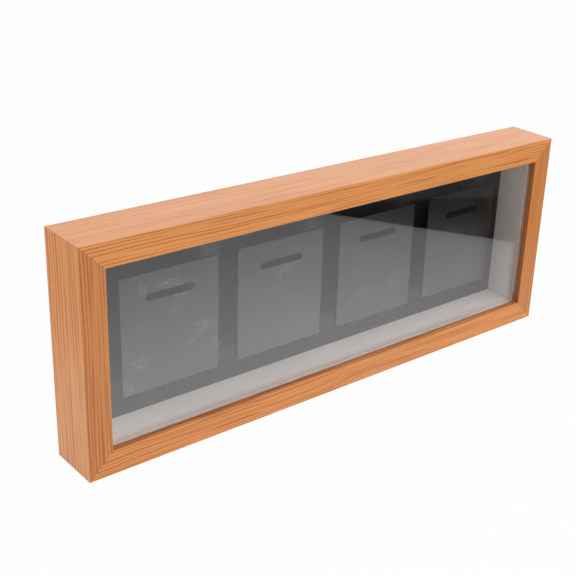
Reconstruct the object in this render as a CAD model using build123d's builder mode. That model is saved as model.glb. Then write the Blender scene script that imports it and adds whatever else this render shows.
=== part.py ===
from build123d import *
import math
import os

# Medal display case: a deep mitred wooden frame with a glass front. Four slotted plates
# for medals stand on a lift-out back, which six turn-buttons hold in the frame's rabbet.
# X runs along the case, +Y from the glass to the wall and +Z up, all in millimetres.
# The origin is the centre of the bottom face, on which the case stands.

# Wooden rails
case_width = 530.0
case_height = 200.0
case_depth = 52.0
face_width = 21.5
rabbet_width = 4.0
lip_thickness = 7.0
arris_radius = 0.7
lip_arris_radius = 0.4

# Glass and liner strips
glass_thickness = 2.0
glass_clearance = 1.0
liner_thickness = 4.8
liner_end_clearance = 0.2

# Lift-out back, from the black sheet to the fibreboard
mount_board_thickness = 2.0
filler_card_thickness = 3.5
backing_board_thickness = 3.0
back_recess = 0.5
back_edge_clearance = 1.0
back_seat_clearance = 0.1

# Medal plates on their risers
pad_count = 4
pad_thickness = 3.0
pad_margin = 25.2
pad_gap = 20.0
pad_corner_radius = 2.0
pad_edge_chamfer = 0.4
slot_length = 46.0
slot_height = 6.6
slot_drop = 21.5
riser_depth = 11.7
riser_inset = 20.0
ribbon_room = 12.7

# Turn-buttons and their screws
button_pivot_radius = 4.6
button_tip_radius = 3.2
button_reach = 14.5
button_thickness = 1.2
button_edge_chamfer = 0.25
button_clearance = 0.1
button_inset = 132.5
screw_radius = 1.5
screw_hole_clearance = 0.1
screw_length = 13.0
screw_head_radius = 3.0
screw_head_height = 1.9
screw_head_chamfer = 0.9
recess_length = 3.6
recess_width = 0.8
recess_depth = 1.0

# V-shaped nails across the mitres
corner_nail_count = 2
corner_nail_leg = 4.0
corner_nail_gauge = 0.7
corner_nail_height = 10.0
corner_nail_depth = 0.3

# Sawtooth wall hangers, their nails and the bumpers
hanger_length = 45.0
hanger_width = 9.0
hanger_gauge = 0.9
hanger_lift = 1.5
hanger_tab = 7.0
hanger_ramp = 1.5
hanger_inset = 70.0
tooth_pitch = 2.6
tooth_depth = 1.7
tooth_land = 0.5
hanger_nail_radius = 0.8
hanger_nail_length = 11.0
hanger_nail_head_radius = 1.7
hanger_nail_head_height = 0.6
hanger_nail_inset = 3.4
bumper_radius = 5.0
bumper_height = 3.2
bumper_chamfer = 1.0
bumper_inset = 35.0

# Metal in wood or in a punched hole, so that the two never share a surface
pilot_clearance = 0.05

# Depths along Y
front_y = -case_depth / 2
rear_y = case_depth / 2
glass_y = front_y + lip_thickness
liner_y = glass_y + glass_thickness
backing_board_y = rear_y - back_recess - backing_board_thickness
filler_card_y = backing_board_y - filler_card_thickness
mount_board_y = filler_card_y - mount_board_thickness
pad_rear_y = mount_board_y - riser_depth
liner_depth = mount_board_y - back_seat_clearance - liner_y

# Widths and heights inside the frame
rail_wall = face_width - rabbet_width
rabbet_length = case_width - 2 * rail_wall
rabbet_height = case_height - 2 * rail_wall
glass_length = rabbet_length - 2 * glass_clearance
glass_height = rabbet_height - 2 * glass_clearance
back_length = rabbet_length - 2 * back_edge_clearance
back_height = rabbet_height - 2 * back_edge_clearance
display_length = rabbet_length - 2 * liner_thickness
display_height = rabbet_height - 2 * liner_thickness
middle_z = case_height / 2

# Plates, side by side across the display space
pad_length = (display_length - 2 * pad_margin - (pad_count - 1) * pad_gap) / pad_count
pad_height = display_height - 2 * pad_margin
pad_pitch = pad_length + pad_gap
slot_z = middle_z + pad_height / 2 - slot_drop
riser_length = pad_length - 2 * riser_inset
riser_bottom_z = middle_z - pad_height / 2 + riser_inset
riser_top_z = slot_z - slot_height / 2 - ribbon_room
riser_height = riser_top_z - riser_bottom_z

# Each rail's middle on its outer edge, the way into the frame, and its length
rail_table = {
    "top": (Vector(0, 0, case_height), Vector(0, 0, -1), case_width),
    "bottom": (Vector(0, 0, 0), Vector(0, 0, 1), case_width),
    "left": (Vector(-case_width / 2, 0, middle_z), Vector(1, 0, 0), case_height),
    "right": (Vector(case_width / 2, 0, middle_z), Vector(-1, 0, 0), case_height),
}


def rear_plane(side):
    """Plane on a rail's rear face: X along the rail, Y into the frame, Z to the wall."""
    middle, inward, _ = rail_table[side]
    to_wall = Vector(0, 1, 0)
    along = inward.cross(to_wall)
    return Plane(origin=middle + to_wall * rear_y, x_dir=along, z_dir=to_wall)


def rear_site(side, along, inward):
    """Plane at one point of a rail's rear face, with the same directions."""
    rear = rear_plane(side)
    point = rear.from_local_coords((along, inward, 0))
    return Plane(origin=point, x_dir=rear.x_dir, z_dir=rear.z_dir)


def corner_site(side, end):
    """Plane at a rail's rear outer corner, with X along the mitre into the frame."""
    rear = rear_plane(side)
    length = rail_table[side][2]
    corner = rear.origin + rear.x_dir * (end * length / 2)
    return Plane(origin=corner, x_dir=rear.y_dir - rear.x_dir * end, z_dir=rear.z_dir)


def facing_plane(y):
    """Plane parallel to the glass at depth y, seen from the front."""
    return Plane.XZ.offset(-y)


# The screws sit at mid-width of a rail's rear face. Seen from the front, left is -X.
long_rail_reach = case_width / 2 - button_inset
button_table = {
    "top_left": ("top", -long_rail_reach),
    "top_right": ("top", long_rail_reach),
    "right": ("right", 0),
    "bottom_right": ("bottom", -long_rail_reach),
    "bottom_left": ("bottom", long_rail_reach),
    "left": ("left", 0),
}
button_sites = {
    name: rear_site(side, along, rail_wall / 2) for name, (side, along) in button_table.items()
}
all_button_sites = list(button_sites.values())
hanger_reach = case_width / 2 - hanger_inset
hanger_sites = {
    "left": rear_site("top", -hanger_reach, rail_wall / 2),
    "right": rear_site("top", hanger_reach, rail_wall / 2),
}
hanger_nail_offset = hanger_length / 2 - hanger_nail_inset
bumper_reach = case_width / 2 - bumper_inset
bumper_sites = [rear_site("bottom", end * bumper_reach, rail_wall / 2) for end in (-1, 1)]
corner_nail_pitch = rail_wall * math.sqrt(2) / (corner_nail_count + 1)


def draw_corner_nails(clearance):
    """Two V-shaped nails along a mitre, one leg in each rail, in the open sketch."""
    for row in range(1, corner_nail_count + 1):
        for turn in (45, -45):
            with Locations(Location((row * corner_nail_pitch, 0), turn)):
                Rectangle(
                    corner_nail_leg + clearance,
                    corner_nail_gauge + 2 * clearance,
                    align=(Align.MIN, Align.CENTER),
                )


def make_rail(side):
    """Rabbeted rail with mitred ends, and the holes that its metal parts sit in."""
    rear = rear_plane(side)
    length = rail_table[side][2]
    start = rear.origin - rear.x_dir * (length / 2)
    lip_rear = lip_thickness - case_depth
    screw_sites = [button_sites[name] for name, (rail, _) in button_table.items() if rail == side]
    with BuildPart() as rail:
        # Section seen along the rail: X into the frame, Y back towards the rear face
        with BuildSketch(Plane(origin=start, x_dir=rear.y_dir, z_dir=rear.x_dir)) as section:
            with BuildLine():
                Polyline(
                    (0, 0),
                    (0, -case_depth),
                    (face_width, -case_depth),
                    (face_width, lip_rear),
                    (rail_wall, lip_rear),
                    (rail_wall, 0),
                    close=True,
                )
            make_face()
            outer_arrises = section.vertices().group_by(Axis.X)[0]
            fillet(outer_arrises, radius=arris_radius)
            lip_arrises = section.vertices().group_by(Axis.X)[-1]
            fillet(lip_arrises, radius=lip_arris_radius)
        extrude(amount=length)
        # Mitres at both ends
        for end in (-1, 1):
            corner = rear.origin + rear.x_dir * (end * length / 2)
            mitre = Plane(origin=corner, z_dir=rear.x_dir * end + rear.y_dir)
            split(bisect_by=mitre, keep=Keep.BOTTOM)
        # Slots for the V-shaped nails
        with BuildSketch(*[corner_site(side, end) for end in (-1, 1)]):
            draw_corner_nails(pilot_clearance)
        extrude(amount=-corner_nail_height - corner_nail_depth, mode=Mode.SUBTRACT)
        # Pilot holes for the turn-button screws
        with BuildSketch(*screw_sites):
            Circle(screw_radius + pilot_clearance)
        extrude(amount=-screw_length - pilot_clearance, mode=Mode.SUBTRACT)
        if side == "top":
            # Holes for the hanger nails
            with BuildSketch(*hanger_sites.values()):
                with Locations((-hanger_nail_offset, 0), (hanger_nail_offset, 0)):
                    Circle(hanger_nail_radius + pilot_clearance)
            extrude(amount=-hanger_nail_length - pilot_clearance, mode=Mode.SUBTRACT)
    return rail


def make_sheet(length, height, y, thickness):
    """Flat rectangular sheet parallel to the glass with its front at y, centred in the frame."""
    with BuildPart() as sheet:
        with BuildSketch(facing_plane(y)):
            with Locations((0, middle_z)):
                Rectangle(length, height)
        extrude(amount=-thickness)
    return sheet


def make_liner(side):
    """Pale strip on one wall of the rabbet, from the glass to the lift-out back."""
    across = side in ("top", "bottom")
    span = rabbet_length if across else display_height
    with BuildPart() as liner:
        with BuildSketch(rear_site(side, 0, rail_wall).offset(liner_y - rear_y)):
            with Locations((0, liner_thickness / 2)):
                Rectangle(span - 2 * liner_end_clearance, liner_thickness)
        extrude(amount=liner_depth)
    return liner


def make_pad(x):
    """Medal plate with eased front edges and one round-ended slot for the ribbon."""
    with BuildPart() as pad:
        with BuildSketch(facing_plane(pad_rear_y)):
            with Locations((x, middle_z)):
                RectangleRounded(pad_length, pad_height, pad_corner_radius)
            with Locations((x, slot_z)):
                SlotOverall(slot_length, slot_height, mode=Mode.SUBTRACT)
        extrude(amount=pad_thickness)
        outline = pad.faces().sort_by(Axis.Y)[0].outer_wire()
        chamfer(outline.edges(), length=pad_edge_chamfer)
    return pad


def make_riser(x):
    """Block that carries a plate, kept clear of the ribbon behind the slot."""
    with BuildPart() as riser:
        with BuildSketch(facing_plane(mount_board_y)):
            with Locations((x, riser_bottom_z + riser_height / 2)):
                Rectangle(riser_length, riser_height)
        extrude(amount=riser_depth)
    return riser


def make_turn_button(site):
    """Flat tongue that tapers to a round tip, lying along its rail as when open."""
    with BuildPart() as button:
        with BuildSketch(site.offset(button_clearance)):
            Circle(button_pivot_radius)
            with Locations((button_reach, 0)):
                Circle(button_tip_radius)
            make_hull()
            Circle(screw_radius + screw_hole_clearance, mode=Mode.SUBTRACT)
        extrude(amount=button_thickness)
        outline = button.faces().sort_by(Axis.Y)[-1].outer_wire()
        chamfer(outline.edges(), length=button_edge_chamfer)
    return button


def make_sawtooth_hanger(site):
    """Bent strip with nailed tabs and a row of teeth on its lower edge."""
    tab_end = hanger_length / 2 - hanger_tab
    rise_end = tab_end - hanger_ramp
    # Seen from above: X along the strip, Y out to the wall
    top_view = Plane(origin=site.origin, x_dir=site.x_dir, z_dir=-site.y_dir)
    tooth_count = int((2 * rise_end - tooth_land) // tooth_pitch)
    with BuildPart() as hanger:
        with BuildSketch(top_view.offset(-hanger_width / 2)):
            with BuildLine():
                inner = Polyline(
                    (-hanger_length / 2, 0),
                    (-tab_end, 0),
                    (-rise_end, hanger_lift),
                    (rise_end, hanger_lift),
                    (tab_end, 0),
                    (hanger_length / 2, 0),
                )
                offset(inner, amount=hanger_gauge, kind=Kind.INTERSECTION, side=Side.LEFT)
            make_face()
        extrude(amount=hanger_width)
        # Teeth: notches cut up into the lower edge, with a small land between two
        with BuildSketch(site):
            for tooth in range(tooth_count):
                middle = (tooth - (tooth_count - 1) / 2) * tooth_pitch
                half = (tooth_pitch - tooth_land) / 2
                with Locations((middle, hanger_width / 2)):
                    Polygon((-half, 0), (0, -tooth_depth), (half, 0), align=None)
        extrude(amount=hanger_lift + 2 * hanger_gauge, mode=Mode.SUBTRACT)
        # Nail holes in the tabs
        with BuildSketch(site):
            with Locations((-hanger_nail_offset, 0), (hanger_nail_offset, 0)):
                Circle(hanger_nail_radius + pilot_clearance)
        extrude(amount=hanger_gauge, mode=Mode.SUBTRACT)
    return hanger


def save(piece, name):
    """Labels a finished piece and writes it under its own name."""
    piece.part.label = name
    export_step(piece.part, f"parts/{name}.step")


os.makedirs("parts", exist_ok=True)

# The frame, its glass and its liner strips
for side in rail_table:
    save(make_rail(side), f"{side}_rail")
    save(make_liner(side), f"liner_{side}")

with BuildPart() as corner_nails:
    corners = [corner_site(side, end) for side in ("top", "bottom") for end in (-1, 1)]
    with BuildSketch(*[corner.offset(-corner_nail_depth) for corner in corners]):
        draw_corner_nails(0)
    extrude(amount=-corner_nail_height)
save(corner_nails, "corner_nails")

save(make_sheet(glass_length, glass_height, glass_y, glass_thickness), "front_glass")

# The lift-out back with its four medal plates
save(make_sheet(back_length, back_height, mount_board_y, mount_board_thickness), "mount_board")
save(make_sheet(back_length, back_height, filler_card_y, filler_card_thickness), "filler_card")
save(make_sheet(back_length, back_height, backing_board_y, backing_board_thickness), "backing_board")

for number in range(1, pad_count + 1):
    pad_x = (number - (pad_count + 1) / 2) * pad_pitch
    save(make_pad(pad_x), f"medal_pad_{number}")
    save(make_riser(pad_x), f"pad_riser_{number}")

# Turn-buttons, and the round-headed screws that they turn on
for name, site in button_sites.items():
    save(make_turn_button(site), f"turn_button_{name}")

head_seat = button_thickness + 2 * button_clearance
with BuildPart() as turn_button_screws:
    with BuildSketch(*[site.offset(-screw_length) for site in all_button_sites]):
        Circle(screw_radius)
    extrude(amount=screw_length + head_seat)
    with BuildSketch(*[site.offset(head_seat) for site in all_button_sites]):
        Circle(screw_head_radius)
    extrude(amount=screw_head_height)
    chamfer(turn_button_screws.edges().group_by(Axis.Y)[-1], length=screw_head_chamfer)
    # Cross recess
    with BuildSketch(*[site.offset(head_seat + screw_head_height) for site in all_button_sites]):
        Rectangle(recess_length, recess_width)
        Rectangle(recess_width, recess_length)
    extrude(amount=-recess_depth, mode=Mode.SUBTRACT)
save(turn_button_screws, "turn_button_screws")

# Wall hangers with their nails, and the bumpers
for name, site in hanger_sites.items():
    save(make_sawtooth_hanger(site), f"sawtooth_hanger_{name}")

with BuildPart() as hanger_nails:
    with BuildSketch(*[site.offset(hanger_gauge) for site in hanger_sites.values()]):
        with Locations((-hanger_nail_offset, 0), (hanger_nail_offset, 0)):
            Circle(hanger_nail_radius)
    extrude(amount=-hanger_nail_length - hanger_gauge)
    with BuildSketch(*[site.offset(hanger_gauge) for site in hanger_sites.values()]):
        with Locations((-hanger_nail_offset, 0), (hanger_nail_offset, 0)):
            Circle(hanger_nail_head_radius)
    extrude(amount=hanger_nail_head_height)
save(hanger_nails, "hanger_nails")

with BuildPart() as wall_bumpers:
    with BuildSketch(*bumper_sites):
        Circle(bumper_radius)
    extrude(amount=bumper_height)
    chamfer(wall_bumpers.edges().group_by(Axis.Y)[-1], length=bumper_chamfer)
save(wall_bumpers, "wall_bumpers")
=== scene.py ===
import math

import bpy
from mathutils import Matrix, Vector


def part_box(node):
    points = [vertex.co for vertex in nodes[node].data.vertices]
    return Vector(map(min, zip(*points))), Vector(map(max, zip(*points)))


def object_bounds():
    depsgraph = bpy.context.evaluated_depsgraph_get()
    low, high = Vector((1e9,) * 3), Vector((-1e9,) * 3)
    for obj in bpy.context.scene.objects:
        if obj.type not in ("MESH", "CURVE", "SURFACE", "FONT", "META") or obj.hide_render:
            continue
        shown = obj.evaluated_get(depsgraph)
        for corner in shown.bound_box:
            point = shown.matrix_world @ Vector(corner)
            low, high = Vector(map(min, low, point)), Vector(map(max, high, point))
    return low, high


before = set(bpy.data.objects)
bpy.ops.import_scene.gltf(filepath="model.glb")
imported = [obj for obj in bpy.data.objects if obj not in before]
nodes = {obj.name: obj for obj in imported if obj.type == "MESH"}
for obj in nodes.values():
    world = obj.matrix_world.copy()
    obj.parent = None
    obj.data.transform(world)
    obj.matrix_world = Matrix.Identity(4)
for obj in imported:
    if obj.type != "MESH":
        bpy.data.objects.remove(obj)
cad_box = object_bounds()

# Medal display case: finishes, floor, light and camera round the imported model.
# Everything is in metres, with X along the case, +Y to the wall and +Z up.

MM = 0.001
white = (1.0, 1.0, 1.0)
case_low, case_high = cad_box
case_width = case_high.x - case_low.x
case_height = case_high.z - case_low.z
front_y = case_low.y
rail_low, rail_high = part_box("top_rail")
rail_rear_y = rail_high.y
rail_face = rail_high.z - rail_low.z
lip_rear_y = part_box("front_glass")[0].y
plate_front_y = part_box("medal_pad_1")[0].y


# Camera, fitted to the case's visible edges in the photograph

picture_side = 576
focal_pixels = 1091.11
optical_axis_pixel = (357.15, 284.74)
sensor_width = 36.0
camera_place = Vector((-605.31, -688.87, 500.83)) * MM
camera_yaw = 42.784
camera_pitch = -23.811
camera_roll = 3.382


def make_camera():
    """Camera at the photograph's place, with its frame moved off the optical axis."""
    data = bpy.data.cameras.new("camera")
    data.sensor_width = sensor_width
    data.lens = focal_pixels / picture_side * sensor_width
    middle = picture_side / 2
    data.shift_x = (middle - optical_axis_pixel[0]) / picture_side
    data.shift_y = (optical_axis_pixel[1] - middle) / picture_side
    camera = bpy.data.objects.new("camera", data)
    bpy.context.scene.collection.objects.link(camera)
    turn = Matrix.Rotation(math.radians(-camera_yaw), 4, "Z")
    tilt = Matrix.Rotation(math.radians(90 + camera_pitch), 4, "X")
    roll = Matrix.Rotation(math.radians(camera_roll), 4, "Z")
    camera.matrix_world = Matrix.Translation(camera_place) @ turn @ tilt @ roll
    bpy.context.scene.camera = camera


# Node trees

noise_range = (0.3, 0.7)


class Graph:
    """The node tree of one new material, with short calls that add and join nodes."""

    def __init__(self, name):
        self.material = bpy.data.materials.new(name)
        self.material.use_nodes = True
        self.tree = self.material.node_tree
        self.tree.nodes.clear()
        self.output = self.tree.nodes.new("ShaderNodeOutputMaterial")
        self.place = self.node("TexCoord").outputs["Object"]

    def put(self, value, socket):
        """Joins a socket to an input, or writes a plain value into it."""
        if isinstance(value, bpy.types.NodeSocket):
            self.tree.links.new(value, socket)
        elif socket.type == "RGBA" and len(value) == 3:
            socket.default_value = (*value, 1.0)
        else:
            socket.default_value = value

    def node(self, kind, settings=None, **inputs):
        """Adds a node, sets its settings and fills the inputs named by the keywords."""
        made = self.tree.nodes.new("ShaderNode" + kind)
        for key, value in (settings or {}).items():
            setattr(made, key, value)
        for key, value in inputs.items():
            self.put(value, made.inputs[key.replace("_", " ")])
        return made

    def math(self, operation, *values):
        """Result of one Math node."""
        made = self.node("Math", {"operation": operation})
        for value, socket in zip(values, made.inputs):
            self.put(value, socket)
        return made.outputs[0]

    def vector_math(self, operation, first, second):
        """One Vector Math node on two vectors."""
        made = self.node("VectorMath", {"operation": operation})
        self.put(first, made.inputs[0])
        self.put(second, made.inputs[1])
        return made

    def axes(self):
        """X, Y and Z of the object coordinates, as three sockets."""
        return tuple(self.node("SeparateXYZ", Vector=self.place).outputs)

    def noise(self, rates, detail=2.0, roughness=0.5, distortion=0.0, place=None):
        """Noise from 0 to 1. Its rates are in waves per metre, one for all axes or one for each."""
        if isinstance(rates, float):
            rates = (rates, rates, rates)
        made = self.node(
            "TexNoise",
            Vector=self.vector_math("MULTIPLY", place or self.place, rates).outputs[0],
            Scale=1.0,
            Detail=detail,
            Roughness=roughness,
            Distortion=distortion,
        )
        return made.outputs["Fac"]

    def fit(self, value, low, high, to_low=0.0, to_high=1.0, ease="SMOOTHSTEP"):
        """Value eased from one range to another and clamped there."""
        made = self.node(
            "MapRange",
            {"interpolation_type": ease},
            Value=value,
            From_Min=low,
            From_Max=high,
            To_Min=to_low,
            To_Max=to_high,
        )
        return made.outputs[0]

    def fit_noise(self, value, to_low=0.0, to_high=1.0):
        """A noise's usual range, eased to another one."""
        return self.fit(value, *noise_range, to_low, to_high)

    def fit_straight(self, value, low, high, to_low=0.0, to_high=1.0):
        """Value taken in a straight line from one range to another and clamped there."""
        return self.fit(value, low, high, to_low, to_high, "LINEAR")

    def between(self, share, first, second):
        """Value between two others, by a share of the second."""
        return self.fit_straight(share, 0.0, 1.0, first, second)

    def product(self, *values):
        """Values multiplied with each other."""
        result = values[0]
        for value in values[1:]:
            result = self.math("MULTIPLY", result, value)
        return result

    def blend(self, share, first, second, how="MIX"):
        """Two colours mixed by a share of the second."""
        made = self.node("Mix", {"data_type": "RGBA", "blend_type": how})
        colours = [socket for socket in made.inputs if socket.type == "RGBA"]
        self.put(share, made.inputs[0])
        self.put(first, colours[0])
        self.put(second, colours[1])
        return next(socket for socket in made.outputs if socket.type == "RGBA")

    def tint(self, colour, other, share=1.0):
        """A colour multiplied by a share of another."""
        return self.blend(share, colour, other, "MULTIPLY")

    def grey(self, level):
        """A grey of a level."""
        return self.node("CombineColor", Red=level, Green=level, Blue=level).outputs[0]

    def bump(self, height, distance, strength):
        """Normal for a height from 0 to 1 that stands for a distance in metres."""
        return self.node("Bump", Height=height, Distance=distance, Strength=strength).outputs[0]

    def mix_shader(self, share, first, second):
        """Two shader nodes mixed by a share of the second."""
        made = self.node("MixShader")
        self.put(share, made.inputs[0])
        self.put(first.outputs[0], made.inputs[1])
        self.put(second.outputs[0], made.inputs[2])
        return made

    def finish(self, shader):
        """Shows a shader node, and returns the material."""
        self.put(shader.outputs[0], self.output.inputs["Surface"])
        return self.material

    def surface(self, colour, roughness, normal, **others):
        """Shows one principled surface, and returns the material."""
        shader = self.node(
            "BsdfPrincipled", Base_Color=colour, Roughness=roughness, Normal=normal, **others
        )
        return self.finish(shader)


# Oak foil: where on a rail a point lies

side_ring_rate = 0.62
arris_blend = 0.1 * MM
lip_edge_blend = (0.25 * MM, 0.1 * MM)


class RailGraph(Graph):
    """The rails' node tree, which knows where on a rail each point lies."""

    def __init__(self, name):
        super().__init__(name)
        x, self.y, z = self.axes()
        self.from_end = self.math("SUBTRACT", case_width / 2, self.math("ABSOLUTE", x))
        self.from_side = self.math("MINIMUM", z, self.math("SUBTRACT", case_height, z))
        self.from_edge = self.math("MINIMUM", self.from_end, self.from_side)
        self.upright = self.math("LESS_THAN", self.from_end, self.from_side)
        # Way across the grain: over the face from its outer edge, and back over the outer side
        depth = self.product(self.math("SUBTRACT", self.y, front_y), side_ring_rate)
        self.girth = self.math("SUBTRACT", self.from_edge, depth)
        self.unrolled = self.node("CombineXYZ", X=self.girth, Y=x, Z=z).outputs[0]
        # Share of the face, and of the lip's inner side
        self.face = self.fit_straight(self.girth, -arris_blend, 0.0)
        lip_start, lip_full = (rail_face - before for before in lip_edge_blend)
        self.lip = self.fit_straight(self.from_edge, lip_start, lip_full)

    def grained(self, rates, detail=2.0):
        """Noise drawn out along the grain, with one rate across it and one along it."""
        across, along = rates
        return self.noise((across, along, along), detail=detail, place=self.unrolled)

    def before_glass(self, start, full, to_low=0.0, to_high=1.0):
        """Value that changes from one distance before the glass to another."""
        return self.fit_straight(self.y, lip_rear_y - start, lip_rear_y - full, to_low, to_high)


# Oak foil: growth rings. Each pair of rates is in waves per metre, across the grain and along it

ring_pitch = 2.9 * MM
wander_rates = (22.0, 7.0)
ring_wander = 2.4
jitter_rates = (230.0, 4.0)
ring_jitter = 1.6
ripple_rates = (90.0, 40.0)
ring_ripple = 0.12
late_rise = (0.35, 0.80)
late_fall = (0.84, 1.0)
strength_rates = (150.0, 10.0)
strength_range = (0.34, 0.66)
weakest_ring = 0.18
streak_rates = (800.0, 10.0)
streak_range = (0.42, 0.72)
streak_share = 0.45
pore_rates = (2600.0, 150.0)
pore_range = (0.64, 0.76)
pore_share = 0.15
grain_middle = 0.35
face_contrast = 1.55
lying_side_contrast = 0.58
upright_side_contrast = 1.85


def growth_rings(graph):
    """Share of dark late wood in rings that wander along the rail and stand at uneven steps."""
    shift = graph.product(graph.grained(wander_rates), ring_wander)
    jitter = graph.grained(jitter_rates, detail=1.0)
    ripple = graph.grained(ripple_rates, detail=1.0)
    shift = graph.math("MULTIPLY_ADD", jitter, ring_jitter, shift)
    shift = graph.math("MULTIPLY_ADD", ripple, ring_ripple, shift)
    ring = graph.math("FRACT", graph.math("MULTIPLY_ADD", graph.girth, 1 / ring_pitch, shift))
    strength = graph.fit(graph.grained(strength_rates), *strength_range, weakest_ring, 1.0)
    rise = graph.fit(ring, *late_rise)
    fall = graph.fit(ring, *late_fall, 1.0, 0.0)
    return graph.product(rise, fall, strength)


def late_wood(graph, streaks, pores):
    """Share of the darker colour: rings, streaks and pores, each side with its own contrast."""
    late = growth_rings(graph)
    late = graph.math("MULTIPLY_ADD", graph.fit(streaks, *streak_range), streak_share, late)
    late = graph.math("MULTIPLY_ADD", pores, pore_share, late)
    side_contrast = graph.between(graph.upright, lying_side_contrast, upright_side_contrast)
    contrast = graph.between(graph.face, side_contrast, face_contrast)
    late = graph.math("SUBTRACT", late, grain_middle)
    late = graph.math("MULTIPLY_ADD", late, contrast, grain_middle)
    return graph.fit_straight(late, 0.0, 1.0)


# Oak foil: colours and finish

foil_light = (0.705, 0.275, 0.065)
foil_late = (0.495, 0.143, 0.022)
# Painted shade: tint that darkens the uprights' faces
upright_face_shade = (0.80, 0.755, 0.71)
patch_rates = (50.0, 5.0)
patch_tones = (0.95, 1.05)
# Painted shade inside the lip, deeper towards the glass
lip_shade_span = (4 * MM, 1 * MM)
lip_painted_shades = (0.78, 0.40)
# Painted shade: tints of the lip's inner side, redder and darker on the uprights
lying_lip_shade_tint = (1.0, 0.90, 0.80)
upright_lip_shade_tint = (0.97, 0.74, 0.46)
# Painted highlight where the uprights' lip meets the glass
lip_edge_highlight = (0.62, 0.50, 0.38)
lip_edge_highlight_blend = (0.9 * MM, 0.6 * MM)
raw_edge_light = (0.44, 0.29, 0.17)
raw_edge_dark = (0.30, 0.185, 0.10)
raw_fibre_rate = 900.0
raw_fibre_range = (0.35, 0.65)
foil_back_margin = 0.4 * MM
rabbet_start = 0.1 * MM
outer_side_depth = 3 * MM
mitre_dark = (0.30, 0.10, 0.03)
mitre_strength = 0.34
mitre_line_width = 0.35 * MM
foil_roughness = (0.34, 0.44)
bare_roughening = 0.4
lip_dullness = 0.6
foil_relief = 0.05 * MM
foil_relief_share = 0.5
foil_relief_strength = 0.6
foil_ior = 1.6


def foil_colour(graph, late):
    """Oak's two colours in broad patches, with painted shade on the uprights' faces and inside the
    lip, and a painted highlight where the uprights' lip meets the glass.
    """
    colour = graph.blend(late, foil_light, foil_late)
    # Painted shade on the uprights' faces
    colour = graph.tint(colour, upright_face_shade, graph.product(graph.upright, graph.face))
    # Painted shade inside the lip, deeper towards the glass
    lip_painted_shade = graph.before_glass(*lip_shade_span, *lip_painted_shades)
    patches = graph.fit_noise(graph.grained(patch_rates), *patch_tones)
    # Tone of random patches, with the lip's painted shade in it
    tone = graph.product(patches, graph.between(graph.lip, 1.0, lip_painted_shade))
    colour = graph.tint(colour, graph.grey(tone))
    # Painted shade: the lip's tint, stronger on the uprights
    lip_shade_tint = graph.blend(graph.upright, lying_lip_shade_tint, upright_lip_shade_tint)
    colour = graph.tint(colour, lip_shade_tint, graph.lip)
    # Painted highlight: a pale line where the uprights' lip meets the glass
    edge_highlight = graph.product(graph.before_glass(*lip_edge_highlight_blend), graph.lip, graph.upright)
    return graph.blend(edge_highlight, colour, lip_edge_highlight)


def bare_board(graph):
    """Share of bare board, where the foil stops: at the rear and in the rabbet behind the lip."""
    foil_end = rail_rear_y - foil_back_margin
    rear = graph.fit(graph.y, foil_end, foil_end + foil_back_margin / 2)
    behind_lip = graph.math("GREATER_THAN", graph.y, lip_rear_y - rabbet_start)
    inside = graph.math("GREATER_THAN", graph.from_edge, outer_side_depth)
    return graph.math("MAXIMUM", rear, graph.product(behind_lip, inside))


def make_wood():
    """Satin oak foil, wrapped round the rails as one straight grain, and bare board behind."""
    graph = RailGraph("oak_foil")
    streaks = graph.grained(streak_rates, detail=3.0)
    pores = graph.fit(graph.grained(pore_rates, detail=1.0), *pore_range)
    colour = foil_colour(graph, late_wood(graph, streaks, pores))
    fibres = graph.fit(graph.noise(raw_fibre_rate, detail=4.0), *raw_fibre_range)
    bare = bare_board(graph)
    colour = graph.blend(bare, colour, graph.blend(fibres, raw_edge_light, raw_edge_dark))
    # Hairline at each mitre
    off_mitre = graph.math("ABSOLUTE", graph.math("SUBTRACT", graph.from_end, graph.from_side))
    mitre = graph.fit(off_mitre, 0.0, mitre_line_width, mitre_strength, 0.0)
    colour = graph.blend(mitre, colour, mitre_dark)
    dull = graph.math("MAXIMUM", bare, graph.product(graph.lip, lip_dullness))
    satin = graph.fit_noise(streaks, *foil_roughness)
    roughness = graph.math("MULTIPLY_ADD", dull, bare_roughening, satin)
    relief = graph.product(graph.math("SUBTRACT", streaks, pores), foil_relief_share)
    normal = graph.bump(relief, foil_relief, foil_relief_strength)
    return graph.surface(colour, roughness, normal, IOR=foil_ior)


# Glass pane

pane_tint = (0.986, 0.986, 0.984)
pane_head_on_share = 0.084
pane_grazing_power = 5.0
film_rate = 14.0
film_dust = (0.8, 0.8, 0.8)
haze_range = (0.35, 0.75)
most_haze = 0.005
smear_range = (0.4, 0.8)
most_smear = 0.006


def make_glass():
    """Thin clear pane that mirrors more towards grazing angles, with a trace of dust."""
    graph = Graph("clear_glass")
    # With a blend of 0.5, Facing is one less the cosine of the angle
    facing = graph.node("LayerWeight", Blend=0.5).outputs["Facing"]
    rise = graph.math("POWER", facing, pane_grazing_power)
    share = graph.math("MULTIPLY_ADD", rise, 1 - pane_head_on_share, pane_head_on_share)
    film = graph.noise(film_rate, detail=3.0)
    haze = graph.fit(film, *haze_range, 0.0, most_haze)
    smear = graph.fit(film, *smear_range, 0.0, most_smear)
    clear = graph.node("BsdfTransparent", Color=pane_tint)
    mirror = graph.node("BsdfAnisotropic", Color=white, Roughness=smear)
    dust = graph.node("BsdfDiffuse", Color=film_dust)
    return graph.finish(graph.mix_shader(haze, graph.mix_shader(share, clear, mirror), dust))


# Liner card

liner_dark = (0.92, 0.845, 0.805)
liner_light = (0.975, 0.90, 0.86)
liner_tooth_rate = 1500.0
liner_cloud_rate = 30.0
liner_tooth_share = 0.6
liner_mottle_range = (0.35, 0.65)
liner_roughness = (0.75, 0.92)
liner_tooth_height = 0.03 * MM
liner_tooth_strength = 0.5


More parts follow.
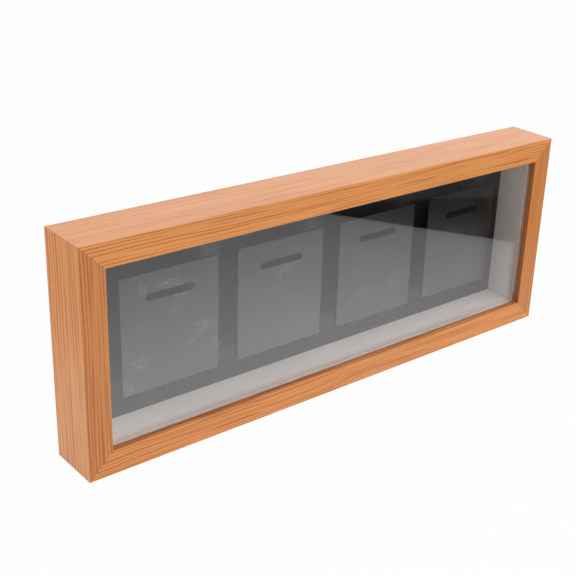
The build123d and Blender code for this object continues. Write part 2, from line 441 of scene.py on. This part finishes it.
def make_liner_card():
    """Matt pale grey card facing with a faint paper tooth."""
    graph = Graph("liner_card_face")
    tooth = graph.noise(liner_tooth_rate, detail=3.0)
    cloud = graph.product(graph.noise(liner_cloud_rate, detail=3.0), 1 - liner_tooth_share)
    mottle = graph.math("MULTIPLY_ADD", tooth, liner_tooth_share, cloud)
    colour = graph.blend(graph.fit(mottle, *liner_mottle_range), liner_dark, liner_light)
    roughness = graph.fit_noise(tooth, *liner_roughness)
    normal = graph.bump(tooth, liner_tooth_height, liner_tooth_strength)
    return graph.surface(colour, roughness, normal)


# Black sheet behind the plates

sheet_black = (0.007, 0.007, 0.008)
sheet_dust = (0.10, 0.10, 0.10)
sheet_dust_share = 0.4
sheet_speck_rate = 2600.0
sheet_speck_range = (0.72, 0.80)
sheet_ripple_rate = 18.0
sheet_ripple_height = 0.02 * MM
sheet_ripple_strength = 0.3
sheet_roughness = (0.25, 0.31)
sheet_ior = 1.55


def make_black_sheet():
    """Satin black sheet with a slight ripple and a trace of dust."""
    graph = Graph("black_gloss")
    ripple = graph.noise(sheet_ripple_rate, detail=1.0)
    specks = graph.fit(graph.noise(sheet_speck_rate, detail=2.0), *sheet_speck_range)
    colour = graph.blend(graph.product(specks, sheet_dust_share), sheet_black, sheet_dust)
    roughness = graph.fit_noise(ripple, *sheet_roughness)
    normal = graph.bump(ripple, sheet_ripple_height, sheet_ripple_strength)
    return graph.surface(colour, roughness, normal, IOR=sheet_ior)


# Charcoal plates, of which those on the left are the dustier ones

plate_dark = (0.006, 0.005, 0.0048)
plate_light = (0.011, 0.0095, 0.009)
plate_smudge = (0.060, 0.056, 0.053)
plate_lint = (0.24, 0.23, 0.22)
# Painted shade on the plates' cut edges and slot walls, in colour and in a dimmed specular tint
plate_wall_shade = (0.006, 0.005, 0.005)
wall_shade_specular = (0.1, 0.1, 0.1)
wall_roughening = 0.6
wall_start = 0.05 * MM
wall_full = 0.3 * MM
plate_tooth_rate = 1800.0
plate_tooth_height = 0.012 * MM
plate_tooth_strength = 0.4
plate_roughness = (0.19, 0.26)
plate_ior = 1.84
smudge_rates = (26.0, 26.0, 34.0)
smudge_range = (0.50, 0.72)
smudge_share = 0.3
lint_rates = (420.0, 420.0, 520.0)
lint_range = (0.48, 0.66)
lint_in_smudge_range = (0.54, 0.66)
lint_share = 0.8
dustiest_x = -0.15
cleanest_x = 0.15
least_dust = 0.35


def dusty_plate(graph, colour):
    """A plate's colour under its smudges and the lint that lies in them."""
    dust = graph.fit(graph.axes()[0], dustiest_x, cleanest_x, 1.0, least_dust)
    smudge = graph.noise(smudge_rates, detail=3.0, roughness=0.6)
    lint = graph.noise(lint_rates, detail=4.0, roughness=0.7)
    dusty = graph.product(graph.fit(smudge, *smudge_range), dust, smudge_share)
    in_smudge = graph.fit(smudge, *lint_in_smudge_range)
    specks = graph.product(graph.fit(lint, *lint_range), in_smudge, dust, lint_share)
    return graph.blend(specks, graph.blend(dusty, colour, plate_smudge), plate_lint)


def make_charcoal():
    """Charcoal plate with a fine tooth, whose cut edges and slot walls are duller and get painted
    shade.
    """
    graph = Graph("charcoal_matt")
    y = graph.axes()[1]
    wall = graph.fit_straight(y, plate_front_y + wall_start, plate_front_y + wall_full)
    tooth = graph.noise(plate_tooth_rate, detail=3.0)
    colour = graph.blend(graph.fit_noise(tooth), plate_dark, plate_light)
    # Painted shade: the walls take the darker colour in place of the dusty face
    colour = graph.blend(wall, dusty_plate(graph, colour), plate_wall_shade)
    satin = graph.fit_noise(tooth, *plate_roughness)
    roughness = graph.math("MULTIPLY_ADD", wall, wall_roughening, satin)
    normal = graph.bump(tooth, plate_tooth_height, plate_tooth_strength)
    # Painted shade: the walls' reflections dimmed
    specular = graph.blend(wall, white, wall_shade_specular)
    return graph.surface(colour, roughness, normal, IOR=plate_ior, Specular_Tint=specular)


# Risers behind the plates

paint_dark = (0.014, 0.014, 0.014)
paint_light = (0.026, 0.025, 0.024)
paint_grain_rate = 700.0
paint_grain_height = 0.08 * MM
paint_grain_strength = 0.5
paint_roughness = (0.5, 0.75)


def make_riser_paint():
    """Black paint on fibreboard blocks."""
    graph = Graph("riser_paint")
    grain = graph.noise(paint_grain_rate, detail=4.0)
    colour = graph.blend(graph.fit_noise(grain), paint_dark, paint_light)
    roughness = graph.fit_noise(grain, *paint_roughness)
    normal = graph.bump(grain, paint_grain_height, paint_grain_strength)
    return graph.surface(colour, roughness, normal)


# Corrugated card

card_dark = (0.40, 0.27, 0.155)
card_light = (0.52, 0.37, 0.23)
# Painted shade in the hollows between the flutes
flute_hollow_shade = (0.06, 0.04, 0.025)
flute_pitch = 6.5 * MM
flute_swing = 0.36
flute_blend = (0.08, 0.16)
skin_blend = (0.40, 0.44)
card_fibre_rates = (1200.0, 1200.0, 300.0)
card_fibre_height = 0.05 * MM
card_fibre_strength = 0.6
card_roughness = (0.8, 0.95)


def make_corrugated_card():
    """Brown card whose cut edges show the liners and the flutes between them, with painted shade in
    the hollows.
    """
    graph = Graph("corrugated")
    low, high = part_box("filler_card")
    x, y, _ = graph.axes()
    depth = graph.math("DIVIDE", graph.math("SUBTRACT", y, low.y), high.y - low.y)
    wave = graph.math("SINE", graph.product(x, 2 * math.pi / flute_pitch))
    flute_middle = graph.math("MULTIPLY_ADD", wave, flute_swing, 0.5)
    off_flute = graph.math("ABSOLUTE", graph.math("SUBTRACT", depth, flute_middle))
    off_middle = graph.math("ABSOLUTE", graph.math("SUBTRACT", depth, 0.5))
    flute = graph.fit(off_flute, *flute_blend, 1.0, 0.0)
    paper = graph.math("MAXIMUM", flute, graph.fit(off_middle, *skin_blend))
    fibres = graph.noise(card_fibre_rates, detail=3.0)
    face = graph.blend(graph.fit_noise(fibres), card_dark, card_light)
    colour = graph.blend(paper, flute_hollow_shade, face)
    roughness = graph.fit_noise(fibres, *card_roughness)
    normal = graph.bump(fibres, card_fibre_height, card_fibre_strength)
    return graph.surface(colour, roughness, normal)


# Fibreboard back

board_dark = (0.265, 0.150, 0.077)
board_light = (0.34, 0.20, 0.107)
board_cloud = (0.24, 0.132, 0.066)
board_cloud_rate = 14.0
board_cloud_range = (0.35, 0.7)
most_cloud = 0.3
board_fleck = (0.14, 0.075, 0.038)
board_fleck_range = (0.58, 0.70)
board_fleck_share = 0.5
board_mottle_rate = 420.0
board_fibre_rates = (500.0, 900.0, 1400.0)
board_fibre_height = 0.05 * MM
board_fibre_strength = 0.5
board_roughness = (0.45, 0.65)


def make_fibreboard():
    """Smooth brown fibreboard, mottled with pressed fibres."""
    graph = Graph("fibreboard_brown")
    mottle = graph.noise(board_mottle_rate, detail=6.0, roughness=0.7)
    cloud = graph.noise(board_cloud_rate, detail=3.0)
    cloud = graph.fit(cloud, *board_cloud_range, 0.0, most_cloud)
    fibres = graph.noise(board_fibre_rates, detail=4.0, distortion=1.5)
    flecks = graph.product(graph.fit(fibres, *board_fleck_range), board_fleck_share)
    colour = graph.blend(graph.fit_noise(mottle), board_dark, board_light)
    colour = graph.blend(flecks, graph.blend(cloud, colour, board_cloud), board_fleck)
    roughness = graph.fit_noise(mottle, *board_roughness)
    normal = graph.bump(fibres, board_fibre_height, board_fibre_strength)
    return graph.surface(colour, roughness, normal)


# Zinc-plated steel

zinc_dark = (0.56, 0.56, 0.54)
zinc_light = (0.70, 0.70, 0.69)
zinc_cloud_rate = 250.0
zinc_rolled_rates = (120.0, 2500.0, 2500.0)
zinc_rolled_height = 0.01 * MM
zinc_rolled_strength = 0.4
zinc_roughness = (0.28, 0.42)


def make_zinc():
    """Zinc-plated steel with rolling marks and slight clouding."""
    graph = Graph("zinc_plate")
    rolled = graph.noise(zinc_rolled_rates, detail=2.0)
    cloud = graph.noise(zinc_cloud_rate, detail=3.0)
    colour = graph.blend(graph.fit_noise(cloud), zinc_dark, zinc_light)
    roughness = graph.fit_noise(cloud, *zinc_roughness)
    normal = graph.bump(rolled, zinc_rolled_height, zinc_rolled_strength)
    return graph.surface(colour, roughness, normal, Metallic=1.0)


# Rubber bumpers

rubber_dark = (0.026, 0.026, 0.027)
rubber_light = (0.045, 0.044, 0.043)
rubber_tooth_rate = 2200.0
rubber_tooth_height = 0.05 * MM
rubber_tooth_strength = 0.5
rubber_roughness = (0.6, 0.8)


def make_rubber():
    """Soft black rubber with a fine tooth."""
    graph = Graph("black_rubber")
    tooth = graph.noise(rubber_tooth_rate, detail=3.0)
    colour = graph.blend(graph.fit_noise(tooth), rubber_dark, rubber_light)
    roughness = graph.fit_noise(tooth, *rubber_roughness)
    normal = graph.bump(tooth, rubber_tooth_height, rubber_tooth_strength)
    return graph.surface(colour, roughness, normal)


# Each finish on its nodes

finishes = {
    ("top_rail", "bottom_rail", "left_rail", "right_rail"): make_wood,
    ("front_glass",): make_glass,
    ("liner_",): make_liner_card,
    ("mount_board",): make_black_sheet,
    ("medal_pad_",): make_charcoal,
    ("pad_riser_",): make_riser_paint,
    ("filler_card",): make_corrugated_card,
    ("backing_board",): make_fibreboard,
    ("turn_button_", "sawtooth_hanger_", "hanger_nails", "corner_nails"): make_zinc,
    ("wall_bumpers",): make_rubber,
}


def dress_case():
    """Gives every CAD node its finish in place of its plain one, by the start of its name."""
    for starts, make_finish in finishes.items():
        material = make_finish()
        for name, node in nodes.items():
            if name.startswith(starts):
                for slot in node.material_slots:
                    slot.material = material


# Floor

floor_reach = 5.0
floor_colour = (0.82, 0.82, 0.82)
seen_white_share = 0.96

# Painted reflection: brightness of the floor in the glass, by place

glow_near_y = -0.13
glow_far_y = -0.36
glow_far = 0.57
glow_left_x = 0.05
glow_right_x = 0.28
glow_right = 0.78
glow_behind_y = 0.10
glow_behind_far_y = 0.30
glow_behind = 0.5
glow_edge_start = Vector((288.0, -377.0, 0.0)) * MM
glow_edge_end = Vector((415.0, -175.0, 0.0)) * MM
edge_fall = 25 * MM
edge_fall_glow = 0.82
edge_slope = 120 * MM
edge_slope_glow = 0.84
past_edge_glow = 0.008
far_edge_start = Vector((452.0, -336.0, 0.0)) * MM
far_edge_end = Vector((538.0, -291.0, 0.0)) * MM
far_edge_blend = 10 * MM
past_far_edge_glow = 0.08


def past_line(graph, start, end):
    """Distance to the right of a line on the floor, as it runs from start to end."""
    right = (end - start).normalized().cross(Vector((0, 0, 1)))
    reach = graph.vector_math("DOT_PRODUCT", graph.place, right).outputs["Value"]
    return graph.math("SUBTRACT", reach, right.dot(start))


def reflection_glow(graph):
    """Floor's painted glow in the glass: a bright patch that fades away from the case, dark past
    its edge.
    """
    x, y, _ = graph.axes()
    near = graph.fit_straight(x, glow_left_x, glow_right_x, 1.0, glow_right)
    fade = graph.fit_straight(y, glow_far_y, glow_near_y, glow_far, near)
    behind = graph.fit_straight(y, glow_behind_y, glow_behind_far_y, 1.0, glow_behind)
    past = past_line(graph, glow_edge_start, glow_edge_end)
    fall = graph.fit_straight(past, -edge_fall, 0.0, 1.0, edge_fall_glow)
    slope = graph.fit_straight(past, -edge_slope, 0.0, 1.0, edge_slope_glow)
    # The glowing patch, which ends at a line
    sheet = graph.product(fade, behind, fall, slope, graph.math("LESS_THAN", past, 0.0))
    # Paler zone past a second line, further off to the right
    far = past_line(graph, far_edge_start, far_edge_end)
    beyond = graph.fit(far, 0.0, far_edge_blend, past_edge_glow, past_far_edge_glow)
    return graph.math("MAXIMUM", sheet, beyond)


def make_floor_material():
    """Pale floor that the camera sees as nearly white, with a light shadow, and that glows by place
    for reflected rays as a painted reflection.
    """
    graph = Graph("white_floor")
    paths = graph.node("LightPath").outputs
    camera_ray = paths["Is Camera Ray"]
    seen = graph.math("MAXIMUM", camera_ray, paths["Is Glossy Ray"])
    seen = graph.math("MAXIMUM", seen, paths["Is Transmission Ray"])
    mirrored = graph.math("SUBTRACT", 1.0, camera_ray)
    share = graph.product(seen, graph.math("MAXIMUM", mirrored, seen_white_share))
    # Painted reflection: the glow, seen only by reflected and refracted rays
    glow = graph.product(reflection_glow(graph), mirrored)
    strength = graph.math("MAXIMUM", glow, camera_ray)
    bare = graph.node("BsdfDiffuse", Color=floor_colour)
    shine = graph.node("Emission", Color=white, Strength=strength)
    return graph.finish(graph.mix_shader(share, bare, shine))


def make_floor():
    """Square floor under the case, which isn't part of it."""
    mesh = bpy.data.meshes.new("floor")
    corners = [(-1, -1), (1, -1), (1, 1), (-1, 1)]
    places = [(x * floor_reach, y * floor_reach, 0.0) for x, y in corners]
    mesh.from_pydata(places, [], [(0, 1, 2, 3)])
    mesh.materials.append(make_floor_material())
    floor = bpy.data.objects.new("floor", mesh)
    bpy.context.scene.collection.objects.link(floor)


# Light

surround_light = 0.28
surround_seen = 1.0
lamp_target = Vector((0.0, 0.0, 0.1))
lamps = {
    "key": {"place": (1.15, -1.55, 1.15), "size": 2.3, "watts": 29.0},
    "front_fill": {"place": (-0.2, -2.0, 1.35), "size": 2.0, "watts": 9.4},
    "overhead": {"place": (0.0, -0.2, 1.7), "size": 2.0, "watts": 8.0},
    "left_fill": {"place": (-2.0, 0.7, 0.95), "size": 2.5, "watts": 29.0},
    "rear_sheen": {"place": (1.7, 2.0, 1.1), "size": 2.6, "watts": 13.0},
}


def make_world():
    """White surround that the camera sees as white, and that lights the case softly."""
    world = bpy.data.worlds.new("studio")
    world.use_nodes = True
    bpy.context.scene.world = world
    tree = world.node_tree
    paths = tree.nodes.new("ShaderNodeLightPath").outputs
    seen = paths["Is Camera Ray"]
    for name in ("Is Glossy Ray", "Is Transmission Ray"):
        either = tree.nodes.new("ShaderNodeMath")
        either.operation = "MAXIMUM"
        tree.links.new(seen, either.inputs[0])
        tree.links.new(paths[name], either.inputs[1])
        seen = either.outputs[0]
    strength = tree.nodes.new("ShaderNodeMapRange")
    tree.links.new(seen, strength.inputs["Value"])
    strength.inputs["To Min"].default_value = surround_light
    strength.inputs["To Max"].default_value = surround_seen
    sky = tree.nodes["Background"]
    sky.inputs["Color"].default_value = (*white, 1.0)
    tree.links.new(strength.outputs[0], sky.inputs["Strength"])


def make_lamp(name, place, size, watts):
    """Square soft box at a place, turned to the middle of the case."""
    data = bpy.data.lights.new(name, "AREA")
    data.size = size
    data.energy = watts
    lamp = bpy.data.objects.new(name, data)
    bpy.context.scene.collection.objects.link(lamp)
    lamp.location = place
    lamp.rotation_euler = (lamp_target - lamp.location).to_track_quat("-Z", "Y").to_euler()


make_camera()
dress_case()
make_floor()
make_world()
for lamp_name, lamp_settings in lamps.items():
    make_lamp(lamp_name, **lamp_settings)

bpy.context.scene.view_settings.view_transform = "Standard"
